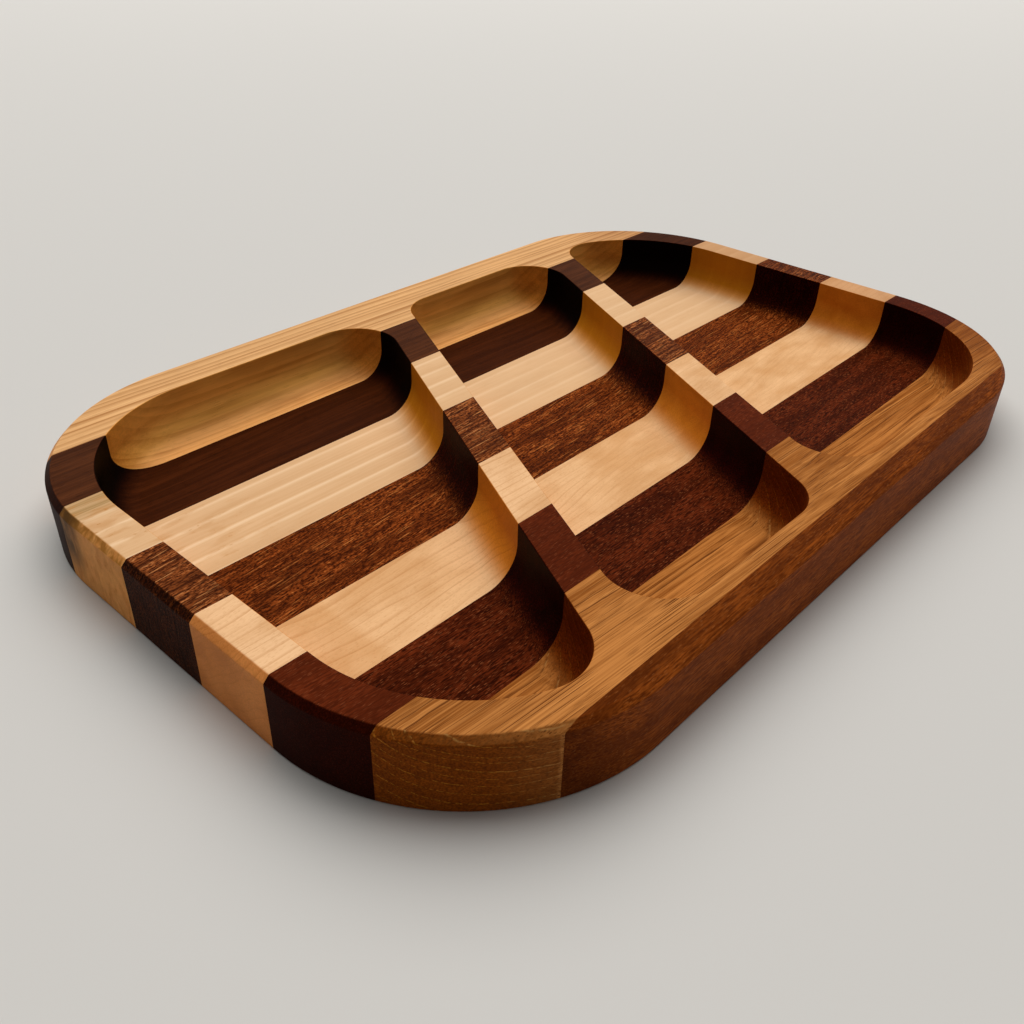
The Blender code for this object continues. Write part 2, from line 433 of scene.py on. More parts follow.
# %% Saw out the planks
seams = [None, *glue_lines(), None]
planks = {}
for (name, node, slot), back, front in zip(PLANKS, seams, seams[1:]):
    plank = bpy.data.objects.new(name, plank_mesh(name, back, front))
    bpy.context.scene.collection.objects.link(plank)
    normals = plank.modifiers.new("flat faces lead the shading", "WEIGHTED_NORMAL")
    normals.keep_sharp = True
    planks[name] = plank
    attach(plank, "root")
    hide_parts(node)
    print(name, "has", len(plank.data.polygons), "faces")
panel.free()

# %% [markdown]
# ## Helpers for nodes
# A material in Blender is a small network of nodes. Wiring each node by hand takes several
# lines, so a few helpers do it. A Wire stands for one output of a node. It can be added,
# subtracted, multiplied and divided like a number, and every such step adds a Math node, or a
# Vector Math node where it is a place or a colour. Each other helper adds one kind of node
# and returns its output. New nodes always go into the tree that lies on the bench.

# %% Wires
bench = {"tree": None}


class Wire:
    """One output of a node, which can be used in a sum."""

    def __init__(self, socket):
        self.socket = socket

    def __add__(self, other):
        return calculate("ADD", self, other)

    def __sub__(self, other):
        return calculate("SUBTRACT", self, other)

    def __rsub__(self, other):
        return calculate("SUBTRACT", other, self)

    def __mul__(self, other):
        scaling = has_axes(self) and not has_axes(other)
        return calculate("SCALE" if scaling else "MULTIPLY", self, other)

    def __truediv__(self, other):
        return calculate("DIVIDE", self, other)


def has_axes(value):
    """Whether a value is a place, a direction or a colour, and not a single number."""
    if isinstance(value, Wire):
        return value.socket.type in ("VECTOR", "RGBA")
    return isinstance(value, tuple)


def add(kind):
    """A new shader node in the tree on the bench."""
    return bench["tree"].nodes.new("ShaderNode" + kind)


def feed(socket, value):
    """Give a socket a plain value, or wire another node's output to it."""
    if isinstance(value, Wire):
        bench["tree"].links.new(value.socket, socket)
    elif socket.type == "RGBA":
        socket.default_value = (*value, 1)
    else:
        socket.default_value = value


def calculate(operation, *values):
    """A Math node, or a Vector Math node where the first value has axes."""
    vector = has_axes(values[0])
    node = add("VectorMath" if vector else "Math")
    node.operation = operation
    sockets = [node.inputs[0], node.inputs["Scale"]] if operation == "SCALE" else node.inputs
    for socket, value in zip(sockets, values):
        feed(socket, value)
    return Wire(node.outputs["Vector" if vector and operation != "LENGTH" else "Value"])


# %% [markdown]
# ## Steps, mixes and noise
# Most of a wood is made of the same few steps: a soft step from dark to light, a mix of two
# colours, a noise that is stretched along the grain. They could be dragged together by hand
# in the shader editor, but eight woods would take hundreds of nodes. Each helper adds the
# node for one such step, so a line below reads as what it does.

# %% Soft steps and mixes


def rise(value, low, high):
    """A soft step from 0 to 1 while the value goes from low to high."""
    node = add("MapRange")
    node.interpolation_type = "SMOOTHSTEP"
    feed(node.inputs["Value"], value)
    feed(node.inputs["From Min"], low)
    feed(node.inputs["From Max"], high)
    return Wire(node.outputs["Result"])


def hill(value, start, top, end):
    """A soft step up from start to top, and down again from top to end."""
    return rise(value, start, top) - rise(value, top, end)


def between(factor, first, second):
    """The number that lies at factor between two others."""
    node = add("MapRange")
    feed(node.inputs["Value"], factor)
    feed(node.inputs["To Min"], first)
    feed(node.inputs["To Max"], second)
    return Wire(node.outputs["Result"])


def blend(factor, first, second, mode="MIX"):
    """Mix two colours."""
    node = add("Mix")
    node.data_type = "RGBA"
    node.blend_type = mode
    feed(node.inputs["Factor"], factor)
    colours = [socket for socket in node.inputs if socket.type == "RGBA"]
    for socket, colour in zip(colours, (first, second)):
        feed(socket, colour)
    return Wire(next(socket for socket in node.outputs if socket.type == "RGBA"))


# %% Noise


def noise(place, spread, detail=2.0, part="Fac"):
    """Smooth noise whose blobs are as long, wide and high as spread says."""
    node = add("TexNoise")
    node.inputs["Scale"].default_value = 1.0
    node.inputs["Detail"].default_value = detail
    feed(node.inputs["Vector"], place / spread)
    return Wire(node.outputs[part])


def spots(place, spread, low, high):
    """Soft spots as large as spread says: 0 where the noise is under low, 1 over high."""
    return rise(noise(place, spread), low, high)


def rippled(place, spread, depth):
    """A place that is pushed aside a little by noise, so straight lines turn wavy."""
    return place + noise(place, spread, part="Color") * depth


# %% Places, faces and stored numbers


def split(vector):
    """The X, Y and Z of a place or a direction."""
    node = add("SeparateXYZ")
    feed(node.inputs[0], vector)
    return [Wire(node.outputs[axis]) for axis in "XYZ"]


def join(x, y, z):
    """A place or a size from three numbers."""
    node = add("CombineXYZ")
    for axis, value in zip("XYZ", (x, y, z)):
        feed(node.inputs[axis], value)
    return Wire(node.outputs["Vector"])


def in_millimetres():
    """The point of the tray that is being coloured, in millimetres."""
    return Wire(add("TexCoord").outputs["Object"]) * MM_PER_METRE


def facing(axis):
    """How much the surface faces along an axis, without its sign."""
    normal = split(Wire(add("TexCoord").outputs["Normal"]))
    return calculate("ABSOLUTE", normal["XYZ".index(axis)])


def stored(name):
    """A number that was left on the points of the mesh."""
    node = add("Attribute")
    node.attribute_name = name
    return Wire(node.outputs["Fac"])


# %% [markdown]
# ## Node groups
# A node group is a small tree with a name, inputs and outputs, which can be placed in many
# materials. The woods could each have their own copy of grain, pores and oil. They share them
# as groups, each with its own values, so a correction in one group reaches every plank.

# %% Helpers for node groups


def new_group(name, inputs, outputs):
    """Lay an empty node group on the bench. Returns it, its inputs and its outputs."""
    group = bpy.data.node_groups.new(name, "ShaderNodeTree")
    for label, (kind, value) in inputs.items():
        socket = group.interface.new_socket(label, in_out="INPUT", socket_type="NodeSocket" + kind)
        socket.default_value = value
    for label, kind in outputs.items():
        group.interface.new_socket(label, in_out="OUTPUT", socket_type="NodeSocket" + kind)
    bench["tree"] = group
    source = group.nodes.new("NodeGroupInput")
    sink = group.nodes.new("NodeGroupOutput")
    print("new node group:", name)
    return group, {label: Wire(source.outputs[label]) for label in inputs}, sink.inputs


def use(group, **settings):
    """Place a group with its own values, named as its inputs are. Returns its outputs."""
    node = add("Group")
    node.node_tree = group
    node.label = group.name
    for label, value in settings.items():
        feed(node.inputs[label.replace("_", " ")], value)
    return {socket.name: Wire(socket) for socket in node.outputs}


# %% [markdown]
# ## Where a point lies in its plank
# Wood isn't painted on: its pattern goes right through, so the same growth ring shows as a
# line on the rim, a curve down the pocket wall and an arc on the sawn end. An image could
# not follow that round a corner, but a pattern that is a formula of the point's place in the
# plank does so by itself. This group gives that place in millimetres. No trunk is straight,
# so the place also drifts a little along the plank.

# %% Group: place in the plank
DRIFT_SHAPE = (1.0, 0.25, 0.25)
NOISE_MIDDLE = 0.5
NOISE_REACH = 2.0

board_place, given, result = new_group(
    "place in the plank",
    {
        "Shift": ("Vector", (0, 0, 0)),
        "Slant": ("Float", 0.0),
        "Drift": ("Float", 1.0),
        "Drift Length": ("Float", 60.0),
    },
    {"Place": "Vector"},
)
slant = add("VectorRotate")
slant.rotation_type = "Z_AXIS"
feed(slant.inputs["Vector"], in_millimetres() + given["Shift"])
feed(slant.inputs["Angle"], given["Slant"])
place = Wire(slant.outputs["Vector"])
spread = calculate("SCALE", DRIFT_SHAPE, given["Drift Length"])
swing = noise(place, spread, detail=1.0, part="Color") - (NOISE_MIDDLE,) * 3
feed(result["Place"], place + swing * (given["Drift"] * NOISE_REACH))

# %% [markdown]
# ## Growth rings
# Each year a tree adds pale, open wood in spring and denser, darker wood in summer, and the
# next spring starts with a sharp step. In section that is a sawtooth along the distance from
# the pith, which is the tree's centre and usually lies outside the plank. The group measures
# that distance, makes some years wider than others, and gives how far the year has gone, how
# dark the summer wood is, and one random tone for each year.

# %% Group: growth rings
ACROSS_THE_TREE = (0.0, 1.0, 1.0)
YEARS_PER_SWING = 4.0
SUMMER_END = 0.97

growth_rings, given, result = new_group(
    "growth rings",
    {
        "Place": ("Vector", (0, 0, 0)),
        "Pith": ("Vector", (0, 0, -60)),
        "Ring Width": ("Float", 2.0),
        "Unevenness": ("Float", 0.5),
        "Summer Share": ("Float", 0.4),
    },
    {"Year": "Float", "Summer": "Float", "Tone": "Float"},
)
spoke = (given["Place"] - given["Pith"]) * ACROSS_THE_TREE
years = calculate("LENGTH", spoke) / given["Ring Width"]
luck = add("TexNoise")
luck.noise_dimensions = "1D"
luck.inputs["Scale"].default_value = 1.0
feed(luck.inputs["W"], years / YEARS_PER_SWING)
swing = (Wire(luck.outputs["Fac"]) - NOISE_MIDDLE) * given["Unevenness"]
years = years + swing * YEARS_PER_SWING
year = calculate("FRACT", years)
grown = rise(year, 1.0 - given["Summer Share"], SUMMER_END)
tone = add("TexWhiteNoise")
tone.noise_dimensions = "1D"
feed(tone.inputs["W"], calculate("FLOOR", years))
feed(result["Year"], year)
feed(result["Summer"], grown - rise(year, SUMMER_END, 1.0))
feed(result["Tone"], Wire(tone.outputs["Value"]))

# %% [markdown]
# ## Fibres and pores
# Wood fibres run along the plank, so their tint varies quickly across it and slowly along it:
# that is noise stretched along X. Pores are thin tubes that the plane cuts open, seen as short
# dashes on a face and as dots on a sawn end. Stretched cells of a Voronoi texture give each
# pore its own place, and a random colour of the cell decides which cells hold a pore at all.

# %% Groups: fibre streaks and pores
SOFT_NOISE = (0.32, 0.68)
PORE_CORE = 0.55
JITTER = 0.35

fibre_streaks, given, result = new_group(
    "fibre streaks",
    {
        "Place": ("Vector", (0, 0, 0)),
        "Length": ("Float", 30.0),
        "Width": ("Float", 0.5),
    },
    {"Streak": "Float"},
)
spread = join(given["Length"], given["Width"], given["Width"])
streak = noise(given["Place"], spread, detail=3.0)
feed(result["Streak"], rise(streak, *SOFT_NOISE))

pores, given, result = new_group(
    "pores",
    {
        "Place": ("Vector", (0, 0, 0)),
        "Length": ("Float", 3.0),
        "Width": ("Float", 0.3),
        "Size": ("Float", 0.4),
        "Share": ("Float", 0.6),
    },
    {"Pore": "Float", "Tone": "Float"},
)
spread = join(given["Length"], given["Width"], given["Width"])
bend = noise(given["Place"], spread, detail=0.0, part="Color")
cells = add("TexVoronoi")
cells.inputs["Scale"].default_value = 1.0
feed(cells.inputs["Vector"], given["Place"] / spread + bend * JITTER)
chance = add("SeparateColor")
feed(chance.inputs["Color"], Wire(cells.outputs["Color"]))
solid = rise(Wire(cells.outputs["Distance"]), given["Size"] * PORE_CORE, given["Size"])
held = calculate("LESS_THAN", Wire(chance.outputs["Red"]), given["Share"])
feed(result["Pore"], (1.0 - solid) * held)
feed(result["Tone"], Wire(chance.outputs["Green"]))

# %% [markdown]
# ## Sawn ends, with painted shade
# Oil is drunk in by the open ends of the fibres, so wood that is cut across them turns darker
# and warmer than its faces. On this tray that is the outside at both ends, and also the
# slanted divider walls. There the cut fibres show as fine dots. The tint is darker than oiled
# end grain alone, so it is partly painted shade, as on faces that turn away from the lamp, and
# it darkens every face that looks along X. The group looks at how much the surface faces along
# X. It could be painted by hand, but the shape already knows it.

# %% Group: oiled end grain and painted shade
END_FACING = (0.12, 0.70)
DOT_SPREAD = (4.0, 0.34, 0.34)

end_grain_and_shade, given, result = new_group(
    "oiled end grain with painted shade",
    {
        "Colour": ("Color", (0.5, 0.5, 0.5, 1)),
        "Place": ("Vector", (0, 0, 0)),
        "Tint": ("Color", (0.7, 0.5, 0.3, 1)),
        "Dots": ("Float", 0.2),
    },
    {"Colour": "Color"},
)
dots = spots(given["Place"], DOT_SPREAD, *SOFT_NOISE)
tint = given["Tint"] * between(dots, 1.0 - given["Dots"], given["Dots"] + 1.0)
end = rise(facing("X"), *END_FACING)
# Painted shade as well as end grain: faces along X are multiplied by the tint.
feed(result["Colour"], blend(end, given["Colour"], tint, mode="MULTIPLY"))

# %% [markdown]
# ## Painted shade in the pockets
# The pocket walls and floors get painted shade: their colour is multiplied by tints of their
# own, which for most woods make the walls much darker and the floors a little darker than the
# rim. In the ash they are painted light instead, lighter and more golden. The second number
# that the loft left on the points says which surfaces are meant, and the way they face parts
# walls from floors.

# %% Group: painted shade on the routed faces
WALL_LEAN = (0.02, 0.45)

pocket_painted_shade, given, result = new_group(
    "routed faces with painted shade",
    {
        "Colour": ("Color", (0.5, 0.5, 0.5, 1)),
        "Wall Tint": ("Color", (0.9, 0.8, 0.6, 1)),
        "Floor Tint": ("Color", (1.0, 1.0, 1.0, 1)),
    },
    {"Colour": "Color"},
)
# Painted light and shade: pocket walls and floors are multiplied by their own tints.
wall = rise(1.0 - facing("Z"), *WALL_LEAN)
tint = blend(wall, given["Floor Tint"], given["Wall Tint"])
feed(result["Colour"], blend(stored(CUT_NAME), given["Colour"], tint, mode="MULTIPLY"))

# %% [markdown]
# ## Oil, handling and painted light
# Hand-rubbed oil never takes evenly, and the edges are sanded thinner than the faces. Slow
# noise makes the colour a little lighter or darker in patches. The lofting left a number on
# every point, 1 on an eased edge and 0 elsewhere, which the Attribute node reads, so the
# edges come out a little paler, partly as worn edges and partly as a painted highlight. The
# last few centimetres of the rim, at the right end, are made darker as painted shade.

# %% Group: hand-rubbed oil, with painted highlight and shade
PATCH_SPREAD = (38.0, 14.0, 14.0)
EDGE_SPREAD = (3.0, 3.0, 3.0)
RIGHT_END_SHADE_STRETCH = (84.0, 124.0)
RIGHT_END_SHADE_TINT = (0.74, 0.64, 0.56)

oil_wear_and_painted_light, given, result = new_group(
    "hand-rubbed oil with painted light",
    {
        "Colour": ("Color", (0.5, 0.5, 0.5, 1)),
        "Place": ("Vector", (0, 0, 0)),
        "Patches": ("Float", 0.15),
        "Pale Edges": ("Float", 0.2),
    },
    {"Colour": "Color", "Patch": "Float"},
)
patch = noise(given["Place"], PATCH_SPREAD)
rubbed = spots(given["Place"], EDGE_SPREAD, *SOFT_NOISE)
# Eased edges come out paler: partly wear, partly a painted highlight.
pale = stored(WEAR_NAME) * rubbed * given["Pale Edges"]
gain = (patch - NOISE_MIDDLE) * given["Patches"] + pale + 1.0
# Painted shade: the rim, not the pockets, darkens towards the right end.
rim_only = calculate("MAXIMUM", facing("Z") - stored(CUT_NAME), 0.0)
right_end_shade = rim_only * rise(split(in_millimetres())[0], *RIGHT_END_SHADE_STRETCH)
feed(result["Colour"], blend(right_end_shade, given["Colour"] * gain, RIGHT_END_SHADE_TINT, mode="MULTIPLY"))
feed(result["Patch"], patch)

# %% [markdown]
# ## One board material
# Every wood ends in the same way: oil, end grain, a Principled shader and a little relief, and
# painted light and shade on the sawn ends, in the pockets, on the eased edges and at the right
# end of the rim. The finish is a thin oil that was wiped off, so it is satin and reflects little,
# and what it reflects is tinted by the wood. The relief is small, since the tray was sanded
# smooth: open pores and soft streaks lie a little lower than the rest. Each wood goes to its
# plank as soon as it is made.
#
# The numbers of a wood stand together above its function. Its board, rings, fibres and pores
# are values for the groups above. Colours are red, green and blue. Noise is given by how long,
# wide and high its blobs are, in millimetres. Spots add the two levels of that noise at which
# they begin and are full, and a ripple adds its depth. A line or a band is given by where it
# starts, is full and ends. Every other pair of numbers is the two ends of a range.

# %% Shared start and end of every wood material
RELIEF_DEPTH = 0.00015
PORE_RELIEF = 0.35


def new_wood(name, wood):
    """Lay an empty material on the bench. Returns it, its shader and the place in its plank."""
    material = bpy.data.materials.new(name)
    material.use_nodes = True
    bench["tree"] = material.node_tree
    place = use(board_place, **wood["board"])["Place"]
    return material, material.node_tree.nodes["Principled BSDF"], place


def dress(plank, material):
    """Give a plank its wood."""
    planks[plank].data.materials.append(material)
    print(plank, "has a material of", len(material.node_tree.nodes), "nodes")


def oil_and_shade(shader, place, colour, height, wood):
    """Oil the end grain, rub the edges, and wire colour, roughness and relief. Light and shade are
    painted on the sawn ends, in the pockets, on the edges and at the rim's right end.
    """
    # End grain, with a tint that is partly painted shade.
    ends = use(end_grain_and_shade, Colour=colour, Place=place, Tint=wood["end grain and painted shade"], Dots=wood["dots"])
    # Painted shade, or in the ash painted light, on the pocket walls and floors.
    routed = use(
        pocket_painted_shade, Colour=ends["Colour"],
        Wall_Tint=wood["painted wall shading"], Floor_Tint=wood["painted floor shading"],
    )
    # Oil patches, worn edges with a painted highlight, and painted shade at the rim's right end.
    oiled = use(
        oil_wear_and_painted_light, Colour=routed["Colour"], Place=place,
        Patches=wood["patches"], Pale_Edges=wood["worn edges and painted highlight"],
    )
    feed(shader.inputs["Base Color"], oiled["Colour"])
    feed(shader.inputs["Roughness"], between(oiled["Patch"], *wood["roughness"]))
    bump = add("Bump")
    bump.inputs["Strength"].default_value = PORE_RELIEF
    bump.inputs["Distance"].default_value = RELIEF_DEPTH
    feed(bump.inputs["Height"], height)
    feed(shader.inputs["Normal"], Wire(bump.outputs["Normal"]))
    shader.inputs["Specular IOR Level"].default_value = wood["reflection"]
    feed(shader.inputs["Specular Tint"], wood["sheen"])


# %% [markdown]
# ## Ash
# The back plank is pale gold. Its rim shows close, straight streaks, and the pockets cut down
# into calmer wood with a few broad bands, which is lighter and more golden partly by painted
# light. The pith is put far to the front and a little below, so the rings stand steep: the
# level rim cuts each into a narrow streak, and the upright wall, which runs nearly along them,
# spreads them into bands.

# %% Numbers of the ash
ASH = {
    "board": {"Shift": (31.0, 0.0, 4.0), "Slant": 0.012, "Drift": 1.3, "Drift Length": 70.0},
    "rings": {"Pith": (0.0, 0.0, -28.0), "Ring Width": 2.1, "Unevenness": 0.8, "Summer Share": 0.85},
    "fibres": {"Length": 45.0, "Width": 0.55},
    "pores": {"Length": 6.0, "Width": 0.30, "Size": 0.30, "Share": 0.5},
    "light": (0.820, 0.456, 0.192),
    "dark": (0.46, 0.200, 0.062),
    "year tones": (0.35, 0.9),
    "streak depth": 0.35,
    # Partly painted light: fewer dark streaks in the pockets make them lighter.
    "inside": (1.0, 0.45),
    "broad bands": ((30.0, 5.0, 4.0), 0.40, 0.62),
    "band strength": 0.35,
    "pore": (0.40, 0.18, 0.055),
    "pore strength": 0.30,
    # Painted light and shade: the end tint darkens sawn ends, the wall and floor tints make the pockets
    # lighter and more golden.
    "end grain and painted shade": (0.80, 0.60, 0.36),
    "dots": 0.08,
    "painted wall shading": (1.15, 1.06, 0.56),
    "painted floor shading": (1.16, 1.00, 0.75),
    "sheen": (1.0, 0.8, 0.6),
    "reflection": 0.06,
    "roughness": (0.42, 0.55),
    "patches": 0.25,
    "worn edges and painted highlight": 0.10,
}

# %% Ash


def ash_wood():
    """Pale gold with summer streaks and a few fine pores."""
    material, shader, place = new_wood("oiled ash", ASH)
    rings = use(growth_rings, Place=place, **ASH["rings"])
    streak = use(fibre_streaks, Place=place, **ASH["fibres"])["Streak"]
    pore = use(pores, Place=place, **ASH["pores"])["Pore"]
    inside = stored(CUT_NAME)
    summer = rings["Summer"] * between(rings["Tone"], *ASH["year tones"])
    # Inside the pockets the dark streaks are weaker: calmer wood, partly painted light.
    dark = between(streak, summer, summer + ASH["streak depth"]) * between(inside, *ASH["inside"])
    broad = spots(place, *ASH["broad bands"]) * inside * ASH["band strength"]
    colour = blend(dark + broad, ASH["light"], ASH["dark"])
    colour = blend(pore * ASH["pore strength"], colour, ASH["pore"])
    oil_and_shade(shader, place, colour, 1.0 - pore, ASH)
    return material


dress("ash_plank", ash_wood())

# %% [markdown]
# ## Walnut
# The second plank is almost black-brown with a trace of purple. Its rings are only soft bands,
# and its pores are darker dashes, so the plank stays calm.

# %% Numbers of the walnut
WALNUT = {
    "board": {"Shift": (7.0, 12.0, 0.0), "Slant": -0.01, "Drift": 1.8, "Drift Length": 60.0},
    "fibres": {"Length": 18.0, "Width": 0.5},
    "pores": {"Length": 3.5, "Width": 0.28, "Size": 0.34, "Share": 0.6},
    "light": (0.094, 0.0275, 0.0090),
    "dark": (0.045, 0.0125, 0.0044),
    "bands": (60.0, 2.2, 7.0),
    "band range": (0.15, 0.70),
    "streak tones": (0.6, 1.0),
    "pore": (0.020, 0.0055, 0.0022),
    "pore strength": 0.6,
    # Painted shade: the end, wall and floor tints darken sawn ends, pocket walls and floors.
    "end grain and painted shade": (0.24, 0.17, 0.13),
    "dots": 0.25,
    "painted wall shading": (0.050, 0.018, 0.006),
    "painted floor shading": (0.67, 0.50, 0.36),
    "sheen": (1.0, 0.55, 0.4),
    "reflection": 0.02,
    "roughness": (0.45, 0.58),
    "patches": 0.40,
    "worn edges and painted highlight": 0.5,
}

# %% Walnut


def walnut_wood():
    """Dark brown with soft bands and darker pores."""
    material, shader, place = new_wood("oiled walnut", WALNUT)
    streak = use(fibre_streaks, Place=place, **WALNUT["fibres"])["Streak"]
    pore = use(pores, Place=place, **WALNUT["pores"])["Pore"]
    ground = between(streak, *WALNUT["streak tones"]) * noise(place, WALNUT["bands"])
    colour = blend(rise(ground, *WALNUT["band range"]), WALNUT["dark"], WALNUT["light"])
    colour = blend(pore * WALNUT["pore strength"], colour, WALNUT["pore"])
    oil_and_shade(shader, place, colour, 1.0 - pore, WALNUT)
    return material


dress("walnut_plank", walnut_wood())

# %% [markdown]
# ## Poplar
# The cream plank was cut so that its rings stand upright: straight lines, as far apart at the
# floor as on the rim. Each year starts with a bleached line, stronger in some years than in
# others, clear at the left and faint further right. Towards the left end lie orange stains and
# small brown flecks, and there the rim also has an olive band of heartwood, whose boundary
# leans, so it leaves the plank before it reaches the floor. On the sawn end the oil has left a
# brown smudge along the walnut, and ochre blotches on the chamfer.

# %% Numbers of the poplar
POPLAR = {
    "board": {"Shift": (0.0, 0.0, 0.0), "Slant": 0.004, "Drift": 0.35, "Drift Length": 90.0},
    "rings": {"Pith": (0.0, 330.2, 10.0), "Ring Width": 6.3, "Unevenness": 0.10, "Summer Share": 0.9},
    "fibres": {"Length": 50.0, "Width": 0.6},
    "light": (0.800, 0.500, 0.268),
    "dark": (0.62, 0.335, 0.145),
    "year tones": (0.25, 0.80),
    "streak depth": 0.5,
    "line": (0.95, 0.67, 0.410),
    "line width": (0.0, 0.10, 0.28),
    "line tones": (0.50, 1.0),
    "line strength": 0.75,
    "faint stretch": (-60.0, 40.0),
    "faint part": 0.65,
    "level faces": (0.2, 1.0),
    "level tones": (0.3, 1.0),
    "ground tones": (0.16, 0.43),
    "left stretch": (-80.0, -124.0),
    "olive": (0.40, 0.235, 0.090),
    "olive stretch": (31.0, 38.0),
    "olive lean": 0.75,
    "olive tones": (0.45, 1.0),
    "stain": (0.52, 0.225, 0.060),
    "stains": ((9.0, 2.4, 6.0), 0.46, 0.68),
    "stain tones": (0.15, 0.95),
    "flecks": ((1.6, 0.8, 1.2), 0.58, 0.70),
    "fleck tones": (0.45, 1.0),
    "chamfer faces": (0.3, 0.6),
    "blotch": (0.36, 0.200, 0.056),
    "blotches": ((20.0, 2.4, 2.4), 0.38, 0.60),
    "blotch tones": (0.15, 0.85),
    "smudge": (0.105, 0.062, 0.020),
    "smudge stretch": (31.0, 38.5),
    "smudge height": (0.0, 11.0),
    "clouds": ((20.0, 3.0, 5.0), 0.34, 0.54),
    "cloud tones": (0.65, 1.0),
    "relief": 0.15,
    # Painted shade: the end and wall tints darken sawn ends and pocket walls; the floor tint leaves it.
    "end grain and painted shade": (0.93, 0.64, 0.31),
    "dots": 0.05,
    "painted wall shading": (0.68, 0.54, 0.09),
    "painted floor shading": (1.0, 1.0, 1.0),
    "sheen": (1.0, 0.85, 0.7),
    "reflection": 0.06,
    "roughness": (0.45, 0.58),
    "patches": 0.12,
    "worn edges and painted highlight": 0.08,
}
TOP_MM = TRAY_THICKNESS * MM_PER_METRE

# %% Stains and sawn end of the poplar


def poplar_stains(place, colour, streak):
    """Olive heartwood, stains and flecks, all towards the left end."""
    x, y, z = split(place)
    leftward = rise(x, *POPLAR["left stretch"])
    olive = rise(y + (z - TOP_MM) * POPLAR["olive lean"], *POPLAR["olive stretch"])
    olive = olive * between(streak, *POPLAR["olive tones"])
    colour = blend(olive * leftward, colour, POPLAR["olive"])
    flecks = between(spots(place, *POPLAR["flecks"]), *POPLAR["fleck tones"])
    stains = spots(place, *POPLAR["stains"]) * flecks * between(leftward, *POPLAR["stain tones"])
    return blend(stains, colour, POPLAR["stain"])


def poplar_end(place, colour):
    """Ochre blotches and a brown smudge, only on the sawn left end."""
    x, y, z = split(place)
    end = rise(facing("X"), *END_FACING) * (1.0 - stored(CUT_NAME))
    end = end * rise(x, *POPLAR["left stretch"])
    chamfer = end * rise(facing("Z"), *POPLAR["chamfer faces"])
    blotch = spots(place, *POPLAR["blotches"]) * between(chamfer, *POPLAR["blotch tones"])
    colour = blend(blotch * end, colour, POPLAR["blotch"])
    smudge = rise(y, *POPLAR["smudge stretch"]) * rise(z, *POPLAR["smudge height"])
    smudge = smudge * between(spots(place, *POPLAR["clouds"]), *POPLAR["cloud tones"])
    return blend(smudge * end, colour, POPLAR["smudge"])


# %% Poplar


def poplar_wood():
    """Cream with soft bleached lines, and stains towards the left end."""
    material, shader, place = new_wood("oiled poplar", POPLAR)
    rings = use(growth_rings, Place=place, **POPLAR["rings"])
    streak = use(fibre_streaks, Place=place, **POPLAR["fibres"])["Streak"]
    faint = rise(split(place)[0], *POPLAR["faint stretch"]) * POPLAR["faint part"]
    level = rise(facing("Z"), *POPLAR["level faces"])
    clear = (1.0 - faint) * between(level, *POPLAR["level tones"])
    summer = between(rings["Summer"], *POPLAR["year tones"])
    dark = between(streak, summer, summer + POPLAR["streak depth"])
    dark = dark * between(clear, *POPLAR["ground tones"])
    colour = blend(dark, POPLAR["light"], POPLAR["dark"])
    bleached = hill(rings["Year"], *POPLAR["line width"]) * clear
    bleached = bleached * between(rings["Tone"], *POPLAR["line tones"])
    colour = blend(bleached * POPLAR["line strength"], colour, POPLAR["line"])
    colour = poplar_stains(place, colour, streak)
    colour = poplar_end(place, colour)
    oil_and_shade(shader, place, colour, 1.0 - streak * POPLAR["relief"], POPLAR)
    return material


dress("poplar_plank", poplar_wood())

# %% [markdown]
# ## Sapele
# The red-brown plank in the middle glitters, because the fibres of such a tree lean now one way
# and now the other: its face is mottled by light and dark spots of half a millimetre. Fine wavy
# dark lines, a little over a millimetre apart, run through the mottle, and so do pale ones that
# are broken into dashes. All rise slightly from left to right.

# %% Numbers of the sapele
SAPELE = {
    "board": {"Shift": (0.0, 5.0, 0.0), "Slant": -0.08, "Drift": 1.8, "Drift Length": 40.0},
    "rings": {"Pith": (0.0, -300.0, 10.0), "Ring Width": 1.35, "Unevenness": 0.7, "Summer Share": 0.60},
    "pale lines": {"Length": 15.0, "Width": 0.56, "Size": 0.34, "Share": 0.75},
    "light": (0.700, 0.285, 0.092),
    "middle": (0.300, 0.0755, 0.0168),
    "dark": (0.040, 0.0074, 0.0019),
    "ribbons": ((42.0, 3.4, 7.0), 0.34, 0.66),
    "ribbon tones": (0.50, 1.10),
    "threads": (3.0, 0.34, 0.34),
    "mottle": (0.8, 0.42, 0.42),
    "thread part": 0.5,
    "figure range": (0.39, 0.59),
    "ripple": ((3.0, 1.2, 1.2), 1.1),
    "line gaps": ((6.0, 1.0, 1.0), 0.33, 0.54),
    "inside": (0.92, 0.75),
    "glint start": (0.66, 0.52),
    "glint full": 0.78,
    "breaks": ((1.4, 0.5, 0.5), 0.34, 0.58),
    "break tones": (0.15, 0.75),
    "glow tones": (0.2, 1.0),
    # Painted shade: the end, wall and floor tints darken sawn ends, pocket walls and floors.
    "end grain and painted shade": (0.20, 0.15, 0.10),
    "dots": 0.30,
    "painted wall shading": (0.54, 0.165, 0.020),
    "painted floor shading": (0.87, 0.69, 0.48),
    "sheen": (1.0, 0.5, 0.3),
    "reflection": 0.02,
    "roughness": (0.42, 0.58),
    "patches": 0.35,
    "worn edges and painted highlight": 0.3,
}

# %% Sapele


